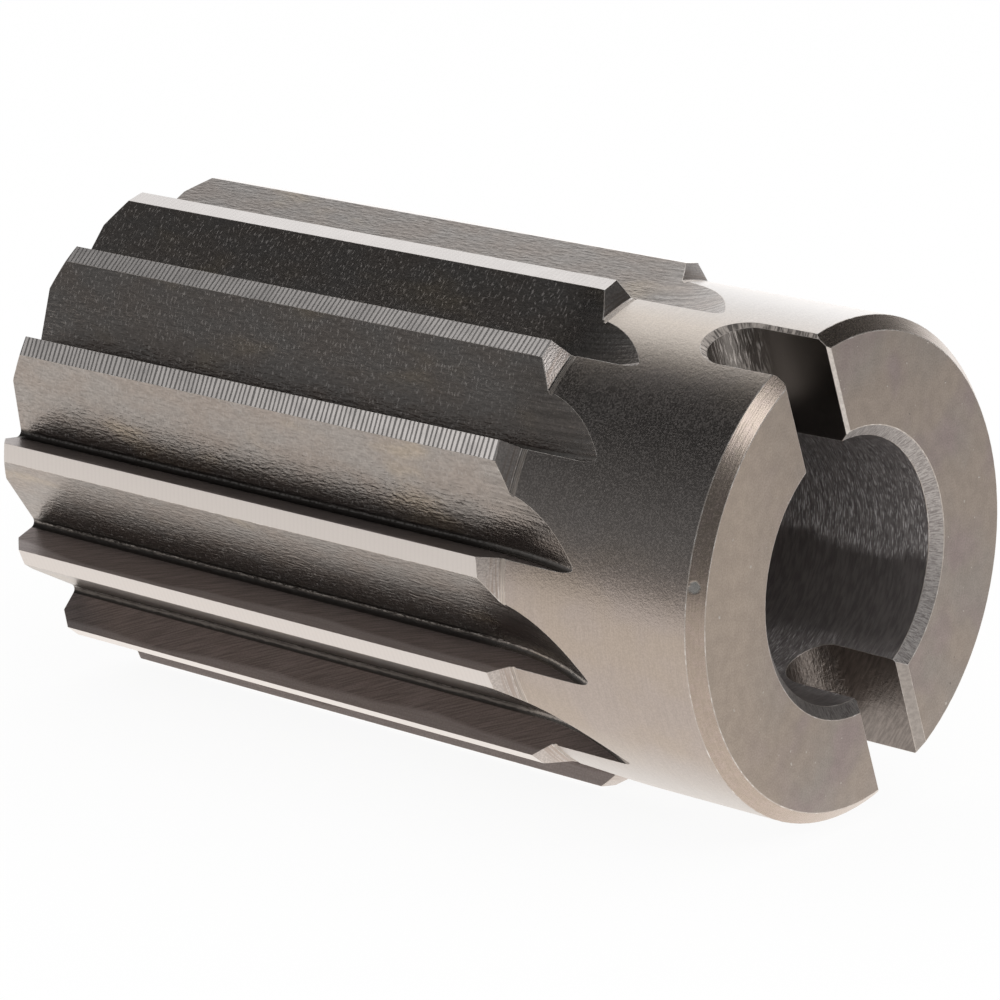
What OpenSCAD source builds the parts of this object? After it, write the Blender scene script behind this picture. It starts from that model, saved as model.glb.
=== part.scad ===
// Machine shell reamer: a hollow fluted cutting tool that slides onto a tapered
// arbor and is driven through a slot across its plain end. Millimetres.
// The bore's axis is X. The origin is the middle of the slotted end face, the
// teeth reach towards -X, and the tool lies on two teeth with -Z down.

/* [Cutting teeth] */
// Diameter over the cutting edges
cutting_diameter = 26; // [23.6:0.1:30]
// Length from end face to end face
overall_length = 45.3; // [40:0.1:50]
// Width of the ground land behind each cutting edge
land_width = 1; // [0.6:0.1:1.4]
// Slope of the land, from the tangent at the cutting edge
relief_angle = 6; // [3:1:9]
// Depth of the 45 degree lead at the front corners
lead_depth = 0.9; // [0.4:0.1:1.2]

/* [Flutes] */
// Angle between a tooth's face and the back of the tooth before it
flute_angle = 75; // [70:1:78]
// Radius at the bottom of a flute
flute_corner_radius = 0.3; // [0.15:0.05:0.5]
// Diameter of the milling cutter, which shapes the run-outs on the hub
mill_diameter = 30; // [24:1:40]
// Distance from the slotted end to where the flutes start to rise
run_out_start = 13.1; // [12:0.1:15]

/* [Hub] */
// Step from the cutting edges down to the plain ground hub
hub_step = 0.8; // [0.5:0.1:1.2]
// Distance from the slotted end to the back of the lands
hub_length = 12.5; // [11:0.1:14]
// Width of the 45 degree bevel at the slotted end
hub_bevel = 0.65; // [0.3:0.05:1]

/* [Bore] */
// Diameter of the bore at the slotted end
bore_diameter = 13; // [11:0.1:14]
// Length over which the bore narrows by one millimetre
taper_ratio = 30; // [25:1:40]
// Depth of the bevel at both mouths of the bore
bore_bevel = 0.5; // [0.2:0.05:0.8]

/* [Drive slot] */
// Width of the slot across the end
slot_width = 3.3; // [2.8:0.1:4.4]
// Depth of the slot from the end face to its round bottom
slot_depth = 5.4; // [4:0.1:6.5]
// Turn of the slot about the bore, from the side to the top
slot_turn = 111; // [90:1:130]
// Width of the bevel where the slot's round end meets the hub
slot_hub_break = 0.3; // [0.15:0.05:0.4]
// Width of the bevel on the end face, along the upper half of the slot
slot_upper_break = 0.15; // [0.1:0.05:0.5]
// Width of the bevel on the end face, along the lower half of the slot
slot_lower_break = 0.4; // [0.1:0.05:0.5]

/* [Hidden] */
$fn = 96;

steel_colour = [0.62, 0.60, 0.58];

// Seven uneven steps, used twice, keep the teeth from chattering in step.
half_turn_steps = [27.8, 23.2, 24.6, 24.7, 26.2, 26.5, 27.0];
step_count = len(half_turn_steps);
tooth_count = 2 * step_count;
// Before the tool is laid down, the first edge stands this far from the side.
first_edge_angle = 74.1;
// The tool lies on the heel of the tooth opposite the first, and on the next edge.
heel_rest_tooth = step_count;
edge_rest_tooth = step_count + 1;

// Cuts and blanks reach this far past the faces they cross.
overrun = 1;
// Blanks that become one solid reach this far into each other.
blank_overlap = 0.2;

edge_radius = cutting_diameter / 2;
hub_radius = edge_radius - hub_step;
mill_radius = mill_diameter / 2;
// The flute's form is drawn this deep and this wide, more than any tooth needs.
form_depth = 5;
form_width = 7.5;
// The cutter's arc is drawn this many degrees each way from its lowest point.
run_out_sweep = 40;
// The rounded corner of the cutter, as a few flats.
corner_flats = 5;
// Shallow groove where the grinding wheel stopped behind the lands.
wheel_groove_width = 0.25;
wheel_groove_depth = 0.06;
wheel_groove_gap = 0.1;

function step(i) = half_turn_steps[i % step_count];
function edge_angle(i) = i == 0 ? first_edge_angle : edge_angle(i - 1) + step(i - 1);
function polar(radius, angle) = radius * [cos(angle), sin(angle)];
function along_land(i, distance) = polar(edge_radius, edge_angle(i))
    + polar(distance, edge_angle(i) + 90 + relief_angle);

heel_drop = land_width * sin(relief_angle);
heel_side = land_width * cos(relief_angle);
heel_radius = norm([edge_radius - heel_drop, heel_side]);
heel_angle = atan2(heel_side, edge_radius - heel_drop);

// The back of each tooth meets the next face at this radius.
function gullet_radius(flute_span) = heel_radius
    * (cos(flute_span) - sin(flute_span) / tan(flute_angle));

// Roll that puts the heel and the edge at rest on one level.
rest_line = polar(edge_radius, edge_angle(edge_rest_tooth)) - along_land(heel_rest_tooth, land_width);
rest_roll = -atan2(rest_line[1], rest_line[0]);

module along_x(from_x, to_x) {
    translate([from_x, 0, 0])
        rotate([90, 0, 90])
            linear_extrude(height = to_x - from_x)
                children();
}

module turned_about_x() {
    rotate([90, 0, 90])
        rotate_extrude()
            children();
}

// Section of the blank, with a flat for each land that runs on into the flutes.
module land_section() {
    flat_ends = [-blank_overlap, land_width + blank_overlap];
    polygon([for (i = [0:tooth_count - 1], end = flat_ends) along_land(i, end)]);
}

// The turned and ground blank: a plain hub behind a thicker toothed body.
module toothed_blank() {
    intersection() {
        along_x(-overall_length, -hub_length + hub_step + overrun)
            land_section();
        turned_about_x()
            polygon([
                [0, -overall_length],
                [edge_radius - lead_depth, -overall_length],
                [edge_radius + overrun, lead_depth + overrun - overall_length],
                [edge_radius + overrun, -hub_length - overrun],
                [hub_radius - blank_overlap, hub_step + blank_overlap - hub_length],
                [0, hub_step + blank_overlap - hub_length],
            ]);
    }
}

module hub() {
    foot = hub_length - hub_step;
    groove_front = foot - wheel_groove_gap;
    groove_back = groove_front - wheel_groove_width;
    turned_about_x()
        polygon([
            [0, -hub_length - overrun],
            [hub_radius - blank_overlap, -hub_length - overrun],
            [hub_radius, -foot - overrun / 2],
            [hub_radius, -groove_front],
            [hub_radius - wheel_groove_depth, -groove_front + wheel_groove_depth],
            [hub_radius - wheel_groove_depth, -groove_back - wheel_groove_depth],
            [hub_radius, -groove_back],
            [hub_radius, -hub_bevel],
            [hub_radius - hub_bevel, 0],
            [0, 0],
        ]);
}

// Form of the angle cutter: across is its radius, up is its width.
module mill_form() {
    corner_set_back = flute_corner_radius / tan(flute_angle / 2);
    corner_turn = (180 - flute_angle) / corner_flats;
    polygon([
        [mill_radius - form_depth, 0],
        for (k = [0:corner_flats])
            [mill_radius - corner_set_back, flute_corner_radius]
                + polar(flute_corner_radius, k * corner_turn - 90),
        [mill_radius - form_width / tan(flute_angle), form_width],
        [mill_radius - form_depth, form_width],
    ]);
}

// One flute: a straight pass from the front, then the cutter's arc out of the hub.
module flute(i) {
    straight_length = overall_length - run_out_start + overrun;
    span = step(i) - heel_angle;
    rotate([edge_angle(i) + step(i), 0, 0])
        translate([-run_out_start, gullet_radius(span) + mill_radius, 0])
            rotate([180, 0, -90]) {
                translate([0, straight_length, 0])
                    rotate([90, 0, 0])
                        linear_extrude(height = straight_length)
                            mill_form();
                rotate([0, 0, -run_out_sweep])
                    rotate_extrude(angle = 2 * run_out_sweep)
                        mill_form();
            }
}

module bore() {
    back_radius = bore_diameter / 2;
    front_radius = back_radius - overall_length / taper_ratio / 2;
    bevel_slope = 1.15;
    turned_about_x()
        polygon([
            [0, overrun],
            [back_radius + (bore_bevel + overrun) * bevel_slope, overrun],
            [back_radius - bore_bevel / taper_ratio / 2, -bore_bevel],
            [front_radius + bore_bevel / taper_ratio / 2, bore_bevel - overall_length],
            [front_radius + (bore_bevel + overrun) * bevel_slope, -overrun - overall_length],
            [0, -overrun - overall_length],
        ]);
}

// Carries a section of the slot from one radius out to another.
module across_hub(from_radius, to_radius) {
    translate([0, to_radius, 0])
        rotate([90, 0, 0])
            linear_extrude(height = to_radius - from_radius)
                children();
}

// Bevel along one half of the slot, on the end face and around the mouth in the hub.
module slot_mouth(face_break) {
    half_width = slot_width / 2;
    round_centre = half_width - slot_depth;
    rise = slot_hub_break + overrun;
    across_hub(0, hub_radius + overrun)
        polygon([
            [-face_break, -half_width],
            [overrun, -half_width - face_break - overrun],
            [overrun, half_width + face_break + overrun],
            [-face_break, half_width],
        ]);
    translate([round_centre, hub_radius - slot_hub_break, 0])
        rotate([-90, 0, 0]) {
            rotate([0, 0, 90])
                rotate_extrude(angle = 180)
                    polygon([[0, 0], [half_width, 0], [half_width + rise, rise], [0, rise]]);
            rotate([90, 0, 90])
                linear_extrude(height = overrun - round_centre)
                    polygon([
                        [-half_width, 0],
                        [half_width, 0],
                        [half_width + rise, rise],
                        [-half_width - rise, rise],
                    ]);
        }
}

// Slot with a full round bottom, milled across the end face in one pass.
module drive_slot() {
    half_width = slot_width / 2;
    round_centre = half_width - slot_depth;
    rotate([slot_turn, 0, 0]) {
        across_hub(-hub_radius - overrun, hub_radius + overrun) {
            translate([round_centre, 0])
                circle(r = half_width);
            translate([round_centre, -half_width])
                square([overrun - round_centre, slot_width]);
        }
        slot_mouth(slot_upper_break);
        rotate([180, 0, 0])
            slot_mouth(slot_lower_break);
    }
}

module shell_reamer() {
    color(steel_colour)
        rotate([rest_roll, 0, 0])
            difference() {
                union() {
                    hub();
                    toothed_blank();
                }
                bore();
                drive_slot();
                for (i = [0:tooth_count - 1])
                    flute(i);
            }
}

shell_reamer();
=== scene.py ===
from math import atan2, cos, hypot, pi, radians, sin, tan

import bmesh
import bpy
from mathutils import Matrix, Vector


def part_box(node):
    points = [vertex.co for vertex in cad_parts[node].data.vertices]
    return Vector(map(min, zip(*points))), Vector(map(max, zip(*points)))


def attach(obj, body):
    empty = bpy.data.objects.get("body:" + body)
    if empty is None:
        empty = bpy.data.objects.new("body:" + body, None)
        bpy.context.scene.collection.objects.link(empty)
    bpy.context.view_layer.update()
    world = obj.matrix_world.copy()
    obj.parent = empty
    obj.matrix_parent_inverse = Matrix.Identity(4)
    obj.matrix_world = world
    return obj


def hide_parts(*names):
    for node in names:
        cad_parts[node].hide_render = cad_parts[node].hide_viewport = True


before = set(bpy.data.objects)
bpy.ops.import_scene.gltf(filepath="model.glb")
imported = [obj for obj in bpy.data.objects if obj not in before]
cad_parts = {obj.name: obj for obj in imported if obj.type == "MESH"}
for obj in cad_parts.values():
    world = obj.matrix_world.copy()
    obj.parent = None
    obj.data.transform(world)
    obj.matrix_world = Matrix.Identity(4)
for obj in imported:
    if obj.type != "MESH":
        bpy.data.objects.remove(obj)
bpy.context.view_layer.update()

mm = 0.001


# The camera stands in front of the slotted end, a little above the tool, and sees
# it through a long lens. The tool was measured before it was rolled on to its two
# resting teeth, so the camera rolls about the bore with it.
resting_turn = radians(0.50189)
camera_place = Vector((118.003, -162.778, 59.076)) * mm
camera_azimuth = radians(40.72545)
camera_height = radians(15.48903)
camera_lens = 160.012
film_width = 36
nearest_seen = 0.01

camera = bpy.data.objects.new("camera", bpy.data.cameras.new("camera"))
camera.data.lens = camera_lens
camera.data.sensor_width = film_width
camera.data.clip_start = nearest_seen
camera.matrix_world = (
    Matrix.Rotation(resting_turn, 4, "X")
    @ Matrix.Translation(camera_place)
    @ Matrix.Rotation(camera_azimuth, 4, "Z")
    @ Matrix.Rotation(pi / 2 - camera_height, 4, "X")
)
bpy.context.scene.collection.objects.link(camera)
bpy.context.scene.camera = camera
bpy.context.scene.view_settings.view_transform = "Standard"


# The room is white where the lens, a reflection or a glass looks at it, and gives
# a plain even light to everything else.
class Wire:
    """A value on its way through a shader. Sums on it add Math nodes."""

    def __init__(self, finish, socket):
        self.finish = finish
        self.socket = socket

    def math(self, operation, *values):
        return self.finish.node("ShaderNodeMath", {"operation": operation}, values)

    def __add__(self, other):
        return self.math("ADD", self, other)

    def __sub__(self, other):
        return self.math("SUBTRACT", self, other)

    def __rsub__(self, other):
        return self.math("SUBTRACT", other, self)

    def __mul__(self, other):
        return self.math("MULTIPLY", self, other)

    def __truediv__(self, other):
        return self.math("DIVIDE", self, other)

    def ramp(self, low, high, rise="LINEAR"):
        """0 below low, 1 above high, and a rise between."""
        return self.finish.node(
            "ShaderNodeMapRange", {"interpolation_type": rise},
            {"Value": self, "From Min": low, "From Max": high},
        )

    def between(self, low, high):
        """A ramp with soft ends."""
        return self.ramp(low, high, "SMOOTHSTEP")

    __radd__ = __add__
    __rmul__ = __mul__


class Finish:
    """The shader of one surface, or of the room."""

    def __init__(self, owner):
        owner.use_nodes = True
        self.tree = owner.node_tree
        self.tree.nodes.clear()

    def node(self, kind, settings=None, inputs=(), output=0):
        made = self.tree.nodes.new(kind)
        for setting, value in (settings or {}).items():
            setattr(made, setting, value)
        places = inputs.items() if isinstance(inputs, dict) else enumerate(inputs)
        for place, value in places:
            if isinstance(value, Wire):
                self.tree.links.new(value.socket, made.inputs[place])
            else:
                made.inputs[place].default_value = value
        return Wire(self, made.outputs[output]) if made.outputs else None

    def blend(self, share, first, second):
        return self.node("ShaderNodeMix", {"data_type": "RGBA"}, {0: share, 6: first, 7: second}, 2)

    def place(self):
        """Place on the tool, in millimetres."""
        return self.stretch(self.node("ShaderNodeTexCoord", output="Object"), (1 / mm, 1 / mm, 1 / mm))

    def marks(self):
        """Distance along the tool marks and across them, in millimetres."""
        return self.node("ShaderNodeUVMap", {"uv_map": "marks"})

    def axis(self, vector, name):
        """One axis of a place, or of the marks: X, Y or Z."""
        return self.node("ShaderNodeSeparateXYZ", inputs=[vector], output=name)

    def stretch(self, vector, factors):
        return self.node("ShaderNodeVectorMath", {"operation": "MULTIPLY"}, [vector, factors])

    def turn(self, marks, angle):
        return self.node(
            "ShaderNodeVectorRotate", {"rotation_type": "Z_AXIS"}, {"Vector": marks, "Angle": angle}
        )

    def grain(self, vector, per_mm, detail=2.0, seed=0.0, warp=0.0):
        """Noise with so many grains per millimetre each way."""
        return self.node(
            "ShaderNodeTexNoise", {"noise_dimensions": "4D"},
            {"Vector": self.stretch(vector, per_mm), "W": float(seed), "Scale": 1.0,
             "Detail": float(detail), "Distortion": float(warp)},
        )

    def shade(self, colour, strength):
        """The colour, made lighter or darker by a value."""
        return self.node(
            "ShaderNodeMix", {"data_type": "RGBA", "blend_type": "MULTIPLY"},
            {0: 1.0, 6: colour, 7: strength}, 2,
        )

    def tone(self, grain, colour, spread):
        """The colour, lighter and darker by the grain."""
        return self.shade(colour, grain.between(0.35, 0.65) * (2 * spread) + (1 - spread))

    def seen_as_background(self):
        """1 where the lens, a reflection or a glass looks, and 0 for plain light."""
        lens, reflection, glass = (
            self.node("ShaderNodeLightPath", output=ray)
            for ray in ("Is Camera Ray", "Is Glossy Ray", "Is Transmission Ray")
        )
        return lens.math("MAXIMUM", lens.math("MAXIMUM", lens, reflection), glass)


white = (1, 1, 1, 1)
room_light = 1.0

world = bpy.data.worlds.new("room")
bpy.context.scene.world = world
room = Finish(world)
shown_room = room.node("ShaderNodeBackground", inputs={"Color": white, "Strength": 1.0})
plain_light = room.node("ShaderNodeBackground", inputs={"Color": white, "Strength": room_light})
room_mix = room.node("ShaderNodeMixShader", inputs=[room.seen_as_background(), plain_light, shown_room])
room.node("ShaderNodeOutputWorld", inputs=[room_mix])


# The floor is a pale sheet under the two resting teeth. Most of what the lens sees
# of it is its own white, and the rest is lit, which keeps the tool's shadow. In
# reflections the sheet is a little warm and glows with painted light, brighter under
# and behind the tool, with painted shade in front of it, and it ends a short way in front.
floor_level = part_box("shell_reamer")[0].z
floor_reach = 1.5
floor_lit = (0.97, 0.97, 0.97, 1)
floor_lit_share = 0.08
floor_warmth = (1, 0.955, 0.91, 1)
floor_glow = 0.83
glow_under_tool = 0.2
glow_behind_tool = 0.1
shade_before_tool = 0.17
glow_past_edge = 0.2

floor_mesh = bmesh.new()
bmesh.ops.create_grid(
    floor_mesh, x_segments=1, y_segments=1, size=floor_reach,
    matrix=Matrix.Translation((0, 0, floor_level)),
)
floor = bpy.data.objects.new("floor", bpy.data.meshes.new("floor"))
floor_mesh.to_mesh(floor.data)
floor_mesh.free()
bpy.context.scene.collection.objects.link(floor)

pale_sheet = bpy.data.materials.new("pale_sheet")
sheet = Finish(pale_sheet)
x = sheet.axis(sheet.place(), "X")
y = sheet.axis(sheet.place(), "Y")
seen_by_lens = sheet.node("ShaderNodeLightPath", output="Is Camera Ray")
on_sheet = y.between(-80, -55)
under_tool = y.ramp(-14, -2) * (1 - x.ramp(0, 8))
glow = (
    floor_glow + under_tool * glow_under_tool + y.ramp(5, 25) * glow_behind_tool
    - x.ramp(2, 14) * shade_before_tool
)
reflected = sheet.shade(floor_warmth, on_sheet * glow + glow_past_edge)
lit_sheet = sheet.node("ShaderNodeBsdfDiffuse", inputs={"Color": floor_lit})
shown_sheet = sheet.node(
    "ShaderNodeEmission", inputs={"Color": sheet.blend(seen_by_lens, reflected, white), "Strength": 1.0}
)
sheet_mix = sheet.node("ShaderNodeMixShader", inputs=[
    sheet.seen_as_background() * (1 - seen_by_lens * floor_lit_share), lit_sheet, shown_sheet,
])
sheet.node("ShaderNodeOutputMaterial", inputs=[sheet_mix])
floor.data.materials.append(pale_sheet)


# Reflections see a dark room, a little lighter low down, with a bright white wall
# behind the tool on its left. That wall fades out to both sides and overhead.
wall_radius = 0.2
dark_grey = 0.03
low_grey = 0.17
wall_white = 1.16
wall_glare = 0.26

wall_mesh = bmesh.new()
bmesh.ops.create_uvsphere(wall_mesh, u_segments=96, v_segments=48, radius=wall_radius)
bmesh.ops.delete(
    wall_mesh,
    geom=[face for face in wall_mesh.faces if face.calc_center_median().z < floor_level],
    context="FACES",
)
walls = bpy.data.objects.new("walls", bpy.data.meshes.new("walls"))
wall_mesh.to_mesh(walls.data)
wall_mesh.free()
bpy.context.scene.collection.objects.link(walls)
walls.visible_camera = walls.visible_diffuse = False
walls.visible_shadow = walls.visible_transmission = False

painted_walls = bpy.data.materials.new("painted_walls")
paint = Finish(painted_walls)
direction = paint.node("ShaderNodeTexCoord", output="Object")
x, y, z = (paint.axis(direction, name) for name in "XYZ")
azimuth = x.math("ARCTAN2", y * -1, x * -1) + pi
height = z.math("ARCSINE", z / wall_radius)
white_wall = (
    azimuth.ramp(radians(90), radians(104))
    * (1 - azimuth.ramp(radians(154), radians(180)))
    * (1 - height.between(radians(54), radians(66)))
    * (wall_white + wall_glare * (1 - azimuth.ramp(radians(127), radians(134))))
)
paint.node("ShaderNodeOutputMaterial", inputs=[paint.node("ShaderNodeEmission", inputs={
    "Color": white_wall + dark_grey + low_grey * (1 - height.ramp(radians(8), radians(48))),
    "Strength": 1.0,
})])
walls.data.materials.append(painted_walls)


# A small softbox hangs in front on the right, well above the slotted end. It puts
# the light patch on the bevel.
softbox_azimuth = radians(-5)
softbox_height = radians(43)
softbox_distance = 0.19
softbox_size = 0.066
softbox_brightness = 2.9

softbox = bpy.data.objects.new("right_softbox", bpy.data.lights.new("right_softbox", "AREA"))
softbox.data.shape = "SQUARE"
softbox.data.size = softbox_size
softbox.data.energy = softbox_brightness * pi * softbox_size * softbox_size
away = Vector((
    cos(softbox_azimuth) * cos(softbox_height),
    sin(softbox_azimuth) * cos(softbox_height),
    sin(softbox_height),
))
softbox.matrix_world = (
    Matrix.Translation(away * softbox_distance) @ away.to_track_quat("Z", "Y").to_matrix().to_4x4()
)
bpy.context.scene.collection.objects.link(softbox)


# The reamer is one solid of high-speed steel: turned, slotted, fluted, hardened and
# then ground. Its shape is the frame's solid, and each worked surface below takes
# its own faces of it, says how they curve, and which way the tool marks run.
overall_length = 45.3 * mm
surfaces = []


def radial(angle):
    return Vector((0, cos(angle), sin(angle)))


def outward(point):
    return radial(atan2(point.z, point.y))


def looks_out(face, place):
    """How squarely a face looks away from the bore's axis: 1 straight out, -1 straight in."""
    return face.normal.dot(outward(place))


def bore_distance(point):
    return hypot(point.y, point.z)


def angle_near(point, near):
    """Angle about the bore from the side towards the top, within half a turn of near."""
    return near + (atan2(point.z, point.y) - near + pi) % (2 * pi) - pi


class Surface:
    """One worked surface and its material. A face goes to the first surface that takes it."""

    def __init__(self, name, takes, normal, marks):
        self.takes = takes
        self.normal = normal
        self.marks = marks
        self.material = bpy.data.materials.new(name)
        self.finish = Finish(self.material)
        surfaces.append(self)


def flat(face, point):
    return face.normal


def turned(lean):
    """A surface turned about the bore, which leans towards the slotted end."""

    def normal(face, point):
        side = outward(point) if looks_out(face, point) > 0 else -outward(point)
        return side * cos(lean) + Vector((sin(lean), 0, 0))

    return normal


def way_round(face, point, distance):
    """How far round the bore a point lies, from the far side, at this distance from it."""
    return angle_near(point, angle_near(face.calc_center_median(), pi)) * distance


rolled_radius = 12 * mm


def round_marks(face, point):
    """Marks that run round the bore: their length first, then the way across them."""
    return way_round(face, point, rolled_radius), point.x


def steel_finish(surface, colour, roughness, height, metal=1.0):
    """Bare steel. The height is in thousandths of a millimetre, and rubbed steel is partly matt."""
    finish = surface.finish
    bump = finish.node("ShaderNodeBump", inputs={"Strength": 1.0, "Distance": 0.001 * mm, "Height": height})
    shader = finish.node("ShaderNodeBsdfPrincipled", inputs={
        "Base Color": colour, "Metallic": metal, "Roughness": roughness, "Normal": bump,
    })
    finish.node("ShaderNodeOutputMaterial", inputs=[shader])


# The hub is ground round between centres, which leaves fine rings, and it keeps a
# bronze tint of the furnace in soft patches. Over that, its colour is painted by height:
# a band of painted shade along the upper side, a painted highlight near the top, and
# painted light at the very top and low down.
hub_radius = 12.2 * mm
hub_front = -11.9 * mm
hub_facets = 0.03 * mm
hub_tan = (0.455, 0.392, 0.342, 1)
hub_plum = (0.45, 0.394, 0.362, 1)
hub_painted_highlight = (0.60, 0.535, 0.475, 1)
hub_painted_shade = (0.435, 0.402, 0.384, 1)
hub_painted_light = (0.54, 0.515, 0.50, 1)

hub = Surface(
    "ground_hub",
    lambda face, place: place.x > hub_front and looks_out(face, place) > 0.99
    and abs(bore_distance(place) - hub_radius) < hub_facets,
    turned(0), round_marks,
)
work = hub.finish
place = work.place()
z = work.axis(place, "Z")
rings = work.grain(place, (11, 0.5, 0.5), detail=2)
pebbles = work.grain(place, (11, 11, 11), detail=1)
specks = work.grain(place, (9, 9, 9), detail=1, seed=9).between(0.62, 0.78)
dimples = work.grain(place, (4, 4, 4), detail=2, seed=12)
patches = work.grain(place, (0.25, 0.3, 0.3), detail=2)
# Painted shade on the upper side, a painted highlight near the top, and painted light at the very top and
# low down.
painted_shade_band = z.between(1, 4) * (1 - z.between(8, 10.5)) * 0.8
painted_top_and_bottom = z.ramp(11.5, 12.2) + 1 - z.ramp(-9.8, -6.8)
bronze = work.blend(patches.between(0.4, 0.62), hub_tan, hub_plum)
bronze = work.blend(z.between(9.5, 11.3), work.blend(painted_shade_band, bronze, hub_painted_shade), hub_painted_highlight)
steel_finish(
    hub,
    colour=work.tone(pebbles, work.tone(rings, work.blend(painted_top_and_bottom, bronze, hub_painted_light), 0.03), 0.06),
    roughness=0.27 + pebbles * 0.1,
    height=rings * 2 + pebbles * 8 + dimples * 9,
    metal=1 - specks * 0.1 - pebbles.between(0.44, 0.64) * 0.065,
)


# The bevel round the slotted end is turned, bronze from the furnace, and the same
# pass leaves fine rings on it. One small knock shows grey.
bevel_front = -0.66 * mm
bevel_bronze = (0.45, 0.38, 0.325, 1)
bevel_rub = (0.475, 0.395, 0.35, 1)
knock_grey = (0.36, 0.375, 0.375, 1)
knock_place = (-0.42, -11.84, 1.75)

hub_bevel = Surface(
    "hub_bevel",
    lambda face, place: place.x > bevel_front and face.normal.x > 0.6 and looks_out(face, place) > 0.6,
    turned(radians(45)), round_marks,
)
work = hub_bevel.finish
place = work.place()
rings = work.grain(place, (20, 0.8, 0.8), detail=2)
pebbles = work.grain(place, (12, 12, 12), detail=2)
mottle = work.grain(place, (3, 3, 3), detail=3)
from_knock = work.node("ShaderNodeVectorMath", {"operation": "DISTANCE"}, [place, knock_place], "Value")
knock = 1 - (from_knock + mottle * 0.3).between(0.36, 0.5)
bronze = work.blend(mottle.between(0.4, 0.68), bevel_bronze, bevel_rub)
steel_finish(
    hub_bevel,
    colour=work.blend(
        knock * 0.8, work.tone(pebbles, work.tone(rings, bronze, 0.04), 0.06), knock_grey
    ),
    roughness=0.22 + pebbles * 0.12,
    height=rings * 6 + pebbles * 2 - knock * 8,
    metal=1 - pebbles.between(0.5, 0.7) * 0.06 - knock * 0.1,
)


# Both end faces are faced flat. They show faint rings, small specks, and the tan
# and purple tints of tempering, and painted light makes the side towards the lens lighter.
end_slack = 0.05 * mm
end_middle_radius = 9 * mm
face_painted_light = (0.41, 0.352, 0.305, 1)
face_tan = (0.35, 0.303, 0.268, 1)
face_grey = (0.322, 0.292, 0.271, 1)
face_plum = (0.316, 0.268, 0.262, 1)
face_speck = (0.52, 0.49, 0.46, 1)
face_pit = (0.2, 0.18, 0.17, 1)

end_face = Surface(
    "end_face",
    lambda face, place: abs(face.normal.x) > 0.999
    and (place.x > -end_slack or place.x < end_slack - overall_length),
    flat,
    lambda face, point: (way_round(face, point, end_middle_radius), bore_distance(point)),
)
work = end_face.finish
place = work.place()
# Painted light: the side towards the lens is lighter.
painted_light_side = 1 - work.axis(place, "Y").ramp(-9, -4)
patches = work.grain(place, (0.22, 0.22, 0.22), detail=3)
tints = work.grain(place, (0.3, 0.3, 0.3), detail=2, seed=7)
specks = work.grain(place, (3.2, 3.2, 3.2), detail=1, seed=3)
pebbles = work.grain(place, (11, 11, 11), detail=2)
clouds = work.grain(place, (1.3, 1.3, 1.3), detail=3, seed=11)
rings = work.grain(work.marks(), (0.1, 5, 1), detail=3)
tempered = work.blend(
    tints.between(0.46, 0.66), work.blend(patches.between(0.38, 0.66), face_tan, face_grey), face_plum
)
tempered = work.tone(rings, work.blend(painted_light_side, tempered, face_painted_light), 0.02)
tempered = work.tone(pebbles, work.tone(clouds, tempered, 0.05), 0.08)
pitted = work.blend(specks.between(0.22, 0.25), face_pit, tempered)
steel_finish(
    end_face,
    colour=work.blend(specks.between(0.715, 0.745), pitted, face_speck),
    roughness=0.34 + pebbles * 0.1,
    height=rings * 1.5 + pebbles * 8 + clouds * 8 + specks.between(0.71, 0.76) * 7,
)


# The bore is reamed to the arbor's taper and finished with a lap. It stays dark, with short
# scratches that run round it, painted as bright glints, and closer together in two painted
# lit zones: one on the far side, fading upwards, and one low down.
bore_lean = 1 / 60
bore_widest = 6.6 * mm
bore_colour = (0.37, 0.34, 0.333, 1)
bore_scratch_glint = (0.74, 0.71, 0.70, 1)

bore = Surface(
    "tapered_bore",
    lambda face, place: bore_distance(place) < bore_widest and abs(face.normal.x) < 0.2
    and looks_out(face, place) < -0.9,
    turned(bore_lean), round_marks,
)
work = bore.finish
place = work.place()
turn = place.math("ARCTAN2", work.axis(place, "Z"), work.axis(place, "Y"))
# Two painted lit zones, where the scratches are denser painted glints and the steel is less metallic.
zone_turn = turn + work.grain(place, (0.3, 0.3, 0.3), detail=2, seed=1) * 0.25
upper_lit_zone = zone_turn.between(-0.06, 0.04) * (1 - zone_turn.ramp(0.2, 1.3) * 0.75)
lower_lit_zone = (1 - zone_turn.between(-0.95, -0.6)) * zone_turn.between(-1.6, -1.1)
painted_lit_zones = 0.12 + upper_lit_zone * 0.88 + lower_lit_zone * 0.8
dashes = work.grain(place, (19, 2.3, 2.3), detail=2).between(0.5, 0.68) * painted_lit_zones
haze = work.grain(place, (7, 1.2, 1.2), detail=3, seed=5)
steel_finish(
    bore,
    colour=work.blend(dashes, work.tone(haze, bore_colour, 0.16), bore_scratch_glint),
    roughness=0.36 + dashes * 0.2,
    height=haze * 6 + dashes * 6,
    metal=0.88 - dashes * 0.3 - painted_lit_zones * 0.25,
)


# Both mouths of the bore are bevelled by hand with a scraper, in short strokes
# across the bevel.
mouth_lean = radians(41)
mouth_radius = 6.7 * mm
mouth_widest = 7.2 * mm
mouth_colour = (0.53, 0.497, 0.478, 1)
mouth_groove = (0.31, 0.282, 0.272, 1)


def mouth_normal(face, point):
    return turned(mouth_lean if face.normal.x > 0 else -mouth_lean)(face, point)


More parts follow.
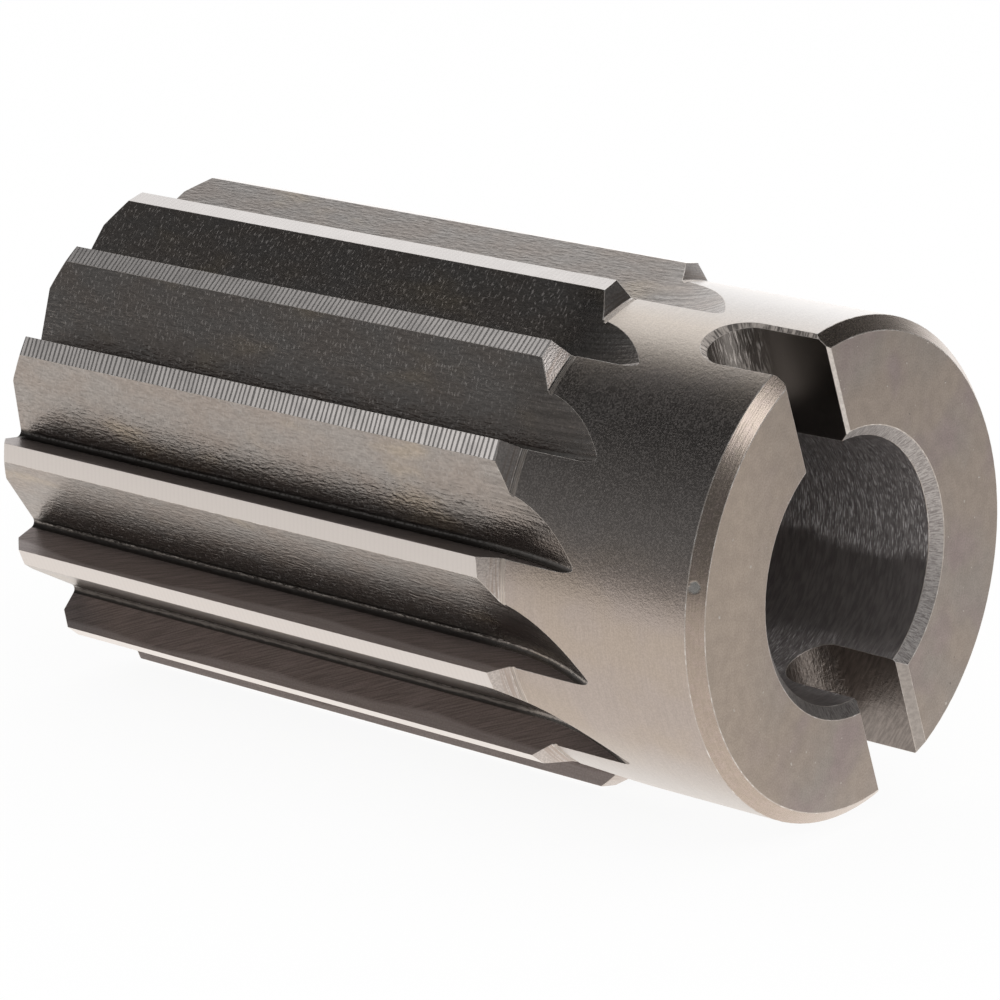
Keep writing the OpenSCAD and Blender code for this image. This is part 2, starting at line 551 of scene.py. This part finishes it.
mouth_bevel = Surface(
    "mouth_bevel",
    lambda face, place: bore_distance(place) < mouth_widest and abs(face.normal.x) > 0.5
    and looks_out(face, place) < -0.5,
    mouth_normal,
    lambda face, point: (way_round(face, point, mouth_radius), bore_distance(point)),
)
work = mouth_bevel.finish
marks = work.marks()
lower_half = 1 - work.axis(work.place(), "Z").ramp(-6, -1)
strokes = work.grain(marks, (13, 3.2, 1), detail=2, warp=0.9)
pebbles = work.grain(marks, (14, 14, 1), detail=1)
scraped = work.blend(strokes.between(0.34, 0.62), mouth_groove, mouth_colour)
steel_finish(
    mouth_bevel,
    colour=work.tone(pebbles, scraped, 0.08),
    roughness=0.5,
    height=strokes * (16 + lower_half * 22),
    metal=0.65 + lower_half * 0.3,
)


# A wheel dressed to 45 degrees grinds the lead at the front corners, and the
# shoulders behind the lands. At the foot of each shoulder it bites into the hub.
lead_back = -44.3 * mm
shoulder_front, shoulder_back = -12.6 * mm, -11.6 * mm
bite_front, bite_back = -11.63 * mm, -11.32 * mm
bite_floor, bite_rim = 12.12 * mm, 12.197 * mm
lead_colour = (0.60, 0.57, 0.55, 1)
shoulder_colour = (0.515, 0.473, 0.45, 1)
shoulder_foot = (0.42, 0.36, 0.325, 1)
bite_colour = (0.60, 0.54, 0.49, 1)
bite_lean = radians(9)


def bite_normal(face, point):
    if abs(face.normal.x) < 0.1:
        return turned(0)(face, point)
    return turned(bite_lean if face.normal.x > 0 else -bite_lean)(face, point)


wheel_bite = Surface(
    "wheel_bite",
    lambda face, place: bite_front < place.x < bite_back and looks_out(face, place) > 0.6
    and bite_floor < bore_distance(place) < bite_rim,
    bite_normal, round_marks,
)
work = wheel_bite.finish
rings = work.grain(work.place(), (28, 0.4, 0.4), detail=2)
steel_finish(
    wheel_bite, colour=work.tone(rings, bite_colour, 0.2), roughness=0.4, height=rings * 8, metal=0.92
)

lead = Surface(
    "lead",
    lambda face, place: place.x < lead_back and face.normal.x < -0.6 and looks_out(face, place) > 0.5,
    turned(radians(-45)), round_marks,
)
shoulder = Surface(
    "shoulder",
    lambda face, place: shoulder_front < place.x < shoulder_back and face.normal.x > 0.5
    and looks_out(face, place) > 0.5,
    turned(radians(45)), round_marks,
)
for surface, colour in ((lead, lead_colour), (shoulder, shoulder_colour)):
    work = surface.finish
    place = work.place()
    rings = work.grain(place, (18, 0.5, 0.5), detail=2)
    pebbles = work.grain(place, (11, 11, 11), detail=2)
    foot = work.axis(place, "X").between(-12.25, -11.95) * rings.between(0.4, 0.56)
    steel_finish(
        surface,
        colour=work.blend(foot, work.tone(pebbles, colour, 0.14), shoulder_foot),
        roughness=0.24 + pebbles * 0.14,
        height=rings * 5 + pebbles * 10,
        metal=0.98,
    )


# The lands are ground last, tooth by tooth, by a cup wheel that crosses them. It
# leaves bright bands with fine cross stripes, deep on some teeth and faint on most.
land_floor = 12.88 * mm
land_colour = (0.715, 0.68, 0.66, 1)
land_groove = (0.40, 0.378, 0.365, 1)
stripe_pitch = 0.29
# Land 1 is the one behind the first cutting edge.
striped_lands = {2: 0.2, 3: 0.72, 4: 1.1, 9: 0.8, 12: 0.9}
faint_stripes = 0.06

land = Surface(
    "land",
    lambda face, place: bore_distance(place) > land_floor and abs(face.normal.x) < 0.01
    and looks_out(face, place) > 0.98,
    flat, round_marks,
)
work = land.finish
marks = work.marks()
x = work.axis(work.place(), "X")
drift = work.grain(marks, (0.12, 0.5, 1), detail=3)
wave = x * (2 * pi / stripe_pitch) + drift * 12
ridges = wave.math("SINE", wave).between(-0.9, 0.1)
bands = work.grain(marks, (0.9, 0.6, 1), detail=2, seed=5).between(0.25, 0.6)
tooth_depth = work.node("ShaderNodeAttribute", {"attribute_name": "stripe_depth"}, output="Fac")
depth = tooth_depth * (0.8 + bands * 0.3)
fine = work.grain(marks, (0.8, 26, 1), detail=2)
biting = 0.8 + x.ramp(-40, -12) * 0.8
steel_finish(
    land,
    colour=work.blend((1 - ridges) * depth, land_colour, land_groove),
    roughness=0.28 + depth * (0.14 + ridges * 0.2) * biting,
    height=ridges * depth * 16 + fine * 3,
    metal=1 - depth * (0.15 + ridges * 0.19) * biting,
)


# The drive slot is milled across the end in one pass. Its walls keep the cutter's
# sweeps, and its round end the streaks of the cutter's corners.
slot_turn = radians(111) + resting_turn
slot_half_width = 1.65 * mm
slot_end = -3.75 * mm
slot_depth = 5.4 * mm
slot_slack = 0.1 * mm
wall_slack = 0.02 * mm
round_slack = 0.05 * mm
slot_line = radial(slot_turn)
slot_side = radial(slot_turn + pi / 2)
slot_dark = (0.27, 0.253, 0.241, 1)
slot_colour = (0.27, 0.255, 0.245, 1)
slot_streak = (0.62, 0.585, 0.56, 1)
slot_brown = (0.2, 0.178, 0.165, 1)


def slot_way(point):
    """How far round the slot's outline a point lies, from the middle of its round end."""
    side = point.dot(slot_side)
    if point.x < slot_end:
        return atan2(side, slot_end - point.x) * slot_half_width
    return (pi / 2 * slot_half_width + point.x - slot_end) * (1 if side > 0 else -1)


def slot_normal(face, point):
    if abs(face.normal.dot(slot_side)) > 0.999:
        return face.normal
    return Vector((slot_end - point.x, 0, 0)) - slot_side * point.dot(slot_side)


def in_slot(face, place):
    side = place.dot(slot_side)
    if abs(face.normal.dot(slot_line)) > 0.05 or place.x < -slot_depth - slot_slack:
        return False
    if place.x < slot_end:
        return abs(hypot(place.x - slot_end, side) - slot_half_width) < round_slack
    return abs(abs(side) - slot_half_width) < wall_slack


slot = Surface(
    "drive_slot", in_slot, slot_normal,
    lambda face, point: (point.dot(slot_line), slot_way(point)),
)
work = slot.finish
marks = work.marks()
place = work.place()
lower_half = 1 - work.axis(place, "Z").between(-4, 0)
from_end = work.axis(marks, "Y").math("ABSOLUTE", work.axis(marks, "Y"))
near_end = 1 - from_end.between(2.1, 2.8)
streaks = work.grain(marks, (1.0, 8, 1), detail=3, warp=0.7)
crinkles = work.grain(place, (4, 4, 4), detail=2, seed=4, warp=0.8)
scratches = work.grain(work.turn(marks, radians(35)), (1, 7, 1), detail=3)
streaked = work.blend(streaks.between(0.5, 0.62), slot_colour, slot_streak)
steel_finish(
    slot,
    colour=work.blend(
        lower_half, work.blend(near_end, slot_dark, streaked), work.tone(scratches, slot_brown, 0.18)
    ),
    roughness=0.24 + crinkles * 0.14,
    height=streaks * (5 + near_end * 40) + crinkles * 5
    + crinkles * lower_half * (5 + near_end * 32) + scratches * lower_half * 9,
    metal=1 - lower_half * 0.05 - near_end * streaks.between(0.5, 0.6) * 0.2,
)


# The mouth of the slot is broken by hand with a file, in short strokes across the
# corner.
filed_colour = (0.60, 0.54, 0.492, 1)
filed_groove = (0.19, 0.17, 0.156, 1)
filed_light = (0.66, 0.61, 0.57, 1)
filed_dull = (0.40, 0.365, 0.34, 1)
filed_lean = 0.6
filed_half_width = 2.3 * mm
filed_front = -5.9 * mm
filed_nearest = 5.9 * mm


def filed_on_hub(face):
    """Whether a face of the bevel lies on the hub, and not on the end face."""
    return abs(face.normal.dot(slot_line)) > 0.3


def filed_normal(face, point):
    if not filed_on_hub(face):
        return Vector((1, 0, 0)) + (face.normal - Vector((face.normal.x, 0, 0))).normalized() * filed_lean
    if point.x > slot_end:
        return face.normal
    towards = (Vector((slot_end - point.x, 0, 0)) - slot_side * point.dot(slot_side)).normalized()
    return towards * filed_lean + slot_line * (1 if face.normal.dot(slot_line) > 0 else -1)


def filed_marks(face, point):
    if filed_on_hub(face):
        return slot_way(point), bore_distance(point)
    return point.dot(slot_line), point.x


filed_bevel = Surface(
    "filed_bevel",
    lambda face, place: abs(place.dot(slot_side)) < filed_half_width and place.x > filed_front
    and bore_distance(place) > filed_nearest,
    filed_normal, filed_marks,
)
work = filed_bevel.finish
place = work.place()
on_hub = 1 - work.axis(place, "X").between(-0.7, -0.3)
dull = (1 - on_hub) * (1 - work.axis(place, "Z").ramp(-2, 2))
strokes = work.grain(work.marks(), (7, 1.1, 1), detail=3, warp=0.3).between(0.4, 0.56)
rub = work.grain(place, (6, 6, 6), detail=3)
filed = work.blend(on_hub, filed_light, work.blend(strokes, filed_groove, filed_colour))
steel_finish(
    filed_bevel,
    colour=work.tone(rub, work.blend(dull, filed, filed_dull), 0.1),
    roughness=0.45,
    height=strokes * on_hub * 12 + rub * 8,
    metal=0.56 + dull * 0.25,
)


# The flutes are milled with an angle cutter that climbs out of the hub in an arc.
# They keep the skin of hardening: pebbled, dark, lined along the cut, with golden
# patches, and only the outer part of each tooth's face is ground.
step_degrees = (27.8, 23.2, 24.6, 24.7, 26.2, 26.5, 27.0) * 2
tooth_count = len(step_degrees)
first_edge = radians(74.1) + resting_turn
cutting_radius = 13 * mm
land_width = 1 * mm
relief_angle = radians(6)
flute_angle = radians(75)
cutter_radius = 15 * mm
corner_radius = 0.3 * mm
run_out_start = -13.1 * mm
heel_radius = hypot(cutting_radius - land_width * sin(relief_angle), land_width * cos(relief_angle))
heel_turn = atan2(land_width * cos(relief_angle), cutting_radius - land_width * sin(relief_angle))
edge_turns = [first_edge + radians(sum(step_degrees[:tooth])) for tooth in range(tooth_count + 1)]
# A face whose middle lies no further past a cutting edge than this still belongs there.
face_overhang = radians(0.3)
first_overhang = radians(0.2)


class Flute:
    """Where a face's flute lies: the tooth's face ahead, the cutter's axis and the floor."""

    def __init__(self, face):
        middle = angle_near(face.calc_center_median(), first_edge + pi + first_overhang)
        self.number = next(
            tooth for tooth in range(1, tooth_count + 1) if edge_turns[tooth] > middle - face_overhang
        )
        span = edge_turns[self.number] - edge_turns[self.number - 1] - heel_turn
        self.up = radial(edge_turns[self.number])
        self.side = radial(edge_turns[self.number] - pi / 2)
        self.floor = heel_radius * (cos(span) - sin(span) / tan(flute_angle))
        self.lean = face.normal.dot(self.side)

    def towards_cutter(self, point):
        rise = self.floor + cutter_radius - point.dot(self.up)
        return Vector((run_out_start - point.x, 0, 0)) * (point.x > run_out_start) + self.up * rise

    def is_face(self):
        return self.lean > 0.99

    def is_flank(self):
        return self.lean < -0.2


def flute_normal(face, point):
    flute = Flute(face)
    if flute.is_face():
        return face.normal
    towards = flute.towards_cutter(point)
    if flute.is_flank():
        return towards.normalized() * sin(flute_angle) - flute.side * cos(flute_angle)
    corner_middle = cutter_radius - corner_radius / tan(flute_angle / 2)
    return (
        towards.normalized() * (towards.length - corner_middle)
        - flute.side * (point.dot(flute.side) - corner_radius)
    )


# Each flute has its own stretch of the marks, so that no two look alike.
flute_stretch = 60
flute_spread = 7


def flute_marks(face, point):
    flute = Flute(face)
    towards = flute.towards_cutter(point)
    along = point.x
    across = point.dot(flute.up) - flute.floor
    if not flute.is_face():
        if point.x > run_out_start:
            along = run_out_start + cutter_radius * atan2(-towards.x, towards.dot(flute.up))
        across = point.dot(flute.side) / sin(flute_angle)
    return along + flute.number * flute_stretch * mm, across + flute.number * flute_spread * mm


def from_flute_floor(finish, marks):
    """How far up its flute a place lies, in millimetres."""
    across = finish.axis(marks, "Y")
    return across.math("MODULO", across + flute_spread, float(flute_spread))


flank_brown = (0.352, 0.314, 0.289, 1)
flank_gold = (0.425, 0.368, 0.306, 1)
flank_grey = (0.352, 0.329, 0.313, 1)
flank_painted_glint = (0.50, 0.475, 0.455, 1)
flank_trough = (0.2, 0.18, 0.165, 1)
corner_painted_shade = (0.09, 0.081, 0.075, 1)

flank = Surface(
    "flute_flank", lambda face, place: not Flute(face).is_face(), flute_normal, flute_marks
)
work = flank.finish
marks = work.marks()
x = work.axis(work.place(), "X")
rise = from_flute_floor(work, marks)
run_out = x.between(-15, -11.5)
deep = 1 - rise.between(1.0, 4.2)
# The rounded corner at the floor is darkened with painted shade, with a thin painted highlight along it.
shaded_floor_corner = 1 - rise.between(0.34, 0.5)
seam = rise.between(0.17, 0.22) * (1 - rise.between(0.26, 0.32))
lines = work.grain(marks, (0.8, 8, 1), detail=3, warp=0.3)
waves = work.grain(marks, (0.12, 5.5, 1), detail=2, seed=4, warp=0.3)
pebbles = work.grain(marks, (5, 8, 1), detail=2, seed=2)
leather = work.grain(marks, (1.8, 6.6, 1), detail=2, seed=11, warp=0.4)
# Painted glints: sparse spots of a lighter, less metallic colour.
glints = work.grain(marks, (9, 3.4, 1), detail=1, seed=9).between(0.565, 0.69)
glints = glints * (1 - run_out * 0.8) * (1 - shaded_floor_corner)
gold = work.grain(marks, (0.16, 0.4, 1), detail=2, seed=6)
grey = work.grain(marks, (0.3, 0.6, 1), detail=2, seed=8)
painted_seam_highlight = seam * pebbles.between(0.35, 0.6)
skin = work.blend(grey.between(0.35, 0.65), flank_brown, flank_grey)
skin = work.blend(gold.between(0.54, 0.72), skin, flank_gold)
troughs = run_out * (1 - waves.between(0.42, 0.54)) * 0.52
milled = work.tone(pebbles, work.blend(troughs, skin, flank_trough), 0.08)
milled = work.blend(shaded_floor_corner * (1 - run_out), work.tone(leather, milled, 0.09), corner_painted_shade)
steel_finish(
    flank,
    colour=work.blend(glints.math("MAXIMUM", glints * 0.3, painted_seam_highlight * 0.45), milled, flank_painted_glint),
    roughness=0.25 + pebbles * 0.12 - run_out * 0.07,
    height=lines * 9 + leather * (20 + deep * 24) * (1 - run_out * 0.8)
    + pebbles * (7 + deep * 12) + waves * run_out * 20,
    metal=1 - glints * 0.22 - x.ramp(-34, -18) * (1 - run_out) * 0.02,
)

# Low down, a tooth's face keeps the cutter's slanting sweeps. Above that it is ground.
ground_grey = (0.375, 0.325, 0.312, 1)
milled_plum = (0.235, 0.194, 0.182, 1)
ground_from = 3.2

tooth_face = Surface("tooth_face", lambda face, place: True, flute_normal, flute_marks)
work = tooth_face.finish
marks = work.marks()
wander = work.grain(marks, (0.07, 0.03, 1), detail=2, seed=3) * 3
ground = (from_flute_floor(work, marks) + wander).between(ground_from, ground_from + 0.3)
lines = work.grain(marks, (0.4, 12, 1), detail=3)
sweeps = work.grain(work.turn(marks, radians(27)), (0.5, 12, 1), detail=3, seed=5)
pebbles = work.grain(marks, (10, 10, 1), detail=2, seed=2)
worked = work.blend(ground, work.tone(sweeps, milled_plum, 0.2), work.tone(lines, ground_grey, 0.06))
steel_finish(
    tooth_face,
    colour=work.tone(pebbles, worked, 0.08),
    roughness=0.3 + pebbles * 0.14,
    height=lines * 3 + (1 - ground) * sweeps * 9 + pebbles * 8,
    metal=0.8,
)


# Sharp corners are broken by a hair's breadth with a stone. Each such edge carries a
# thin line whose bright colour is a painted highlight.
edge_painted_highlight = (0.80, 0.77, 0.74, 1)
edge_worn = (0.52, 0.47, 0.43, 1)
widest_break = 0.1 * mm
keen_edge = 0.25
blunt_edge = 0.6

broken_edge = Surface("broken_edge", lambda face, place: False, flat, round_marks)
work = broken_edge.finish
rub = work.grain(work.place(), (2.5, 2.5, 2.5), detail=3)
steel_finish(
    broken_edge,
    colour=work.blend(rub.between(0.45, 0.7), edge_worn, edge_painted_highlight),
    roughness=0.4,
    height=rub * 6,
    metal=0.82,
)


# The finished reamer: the solid's loose triangles become whole faces, each goes to
# its surface, and the sharp corners are broken. Then every corner of every face gets
# the true direction of its curved surface, and its place on the tool marks.
same_point = 0.002 * mm
same_plane = radians(0.3)
sharp_corner = radians(24)

steel = bmesh.new()
steel.from_mesh(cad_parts["shell_reamer"].data)
bmesh.ops.remove_doubles(steel, verts=steel.verts, dist=same_point)
bmesh.ops.dissolve_limit(
    steel, angle_limit=same_plane, verts=steel.verts, edges=steel.edges, use_dissolve_boundaries=False
)
for face in steel.faces:
    face.smooth = True
    middle = face.calc_center_median()
    face.material_index = next(
        index for index, surface in enumerate(surfaces) if surface.takes(face, middle)
    )
weight = steel.edges.layers.float.new("bevel_weight_edge")
for edge in steel.edges:
    if edge.calc_face_angle(0) > sharp_corner:
        kinds = {surfaces[face.material_index] for face in edge.link_faces}
        keen = kinds & {land, wheel_bite, filed_bevel} or kinds == {flank, hub}
        edge[weight] = keen_edge if keen else blunt_edge

reamer = bpy.data.objects.new("reamer_body", bpy.data.meshes.new("reamer_body"))
steel.to_mesh(reamer.data)
steel.free()
for surface in surfaces:
    reamer.data.materials.append(surface.material)
bpy.context.scene.collection.objects.link(reamer)

stoning = reamer.modifiers.new("stoning", "BEVEL")
stoning.limit_method = "WEIGHT"
stoning.offset_type = "OFFSET"
stoning.width = widest_break / 2
stoning.segments = 2
stoning.material = surfaces.index(broken_edge)
stoning.use_clamp_overlap = False
shaped = bpy.data.meshes.new_from_object(reamer.evaluated_get(bpy.context.evaluated_depsgraph_get()))
reamer.modifiers.remove(stoning)
reamer.data = shaped


def curved_normal(corner):
    """The surface's true direction there. A broken edge lies between its neighbours'."""
    faces = [corner.face]
    if surfaces[corner.face.material_index] is broken_edge:
        around = corner.vert.link_faces
        faces = [face for face in around if surfaces[face.material_index] is not broken_edge] or around[:]
    normal = Vector()
    for face in faces:
        normal += surfaces[face.material_index].normal(face, corner.vert.co).normalized()
    return normal.normalized()


steel = bmesh.new()
steel.from_mesh(shaped)
marks_map = steel.loops.layers.uv.new("marks")
stripe_depth = steel.faces.layers.float.new("stripe_depth")
normals = []
for face in steel.faces:
    face[stripe_depth] = striped_lands.get(Flute(face).number, faint_stripes)
    for corner in face.loops:
        normals.append(curved_normal(corner))
        along, across = surfaces[face.material_index].marks(face, corner.vert.co)
        corner[marks_map].uv = (along / mm, across / mm)
steel.to_mesh(shaped)
steel.free()
shaped.normals_split_custom_set(normals)

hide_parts("shell_reamer")
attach(reamer, "root")
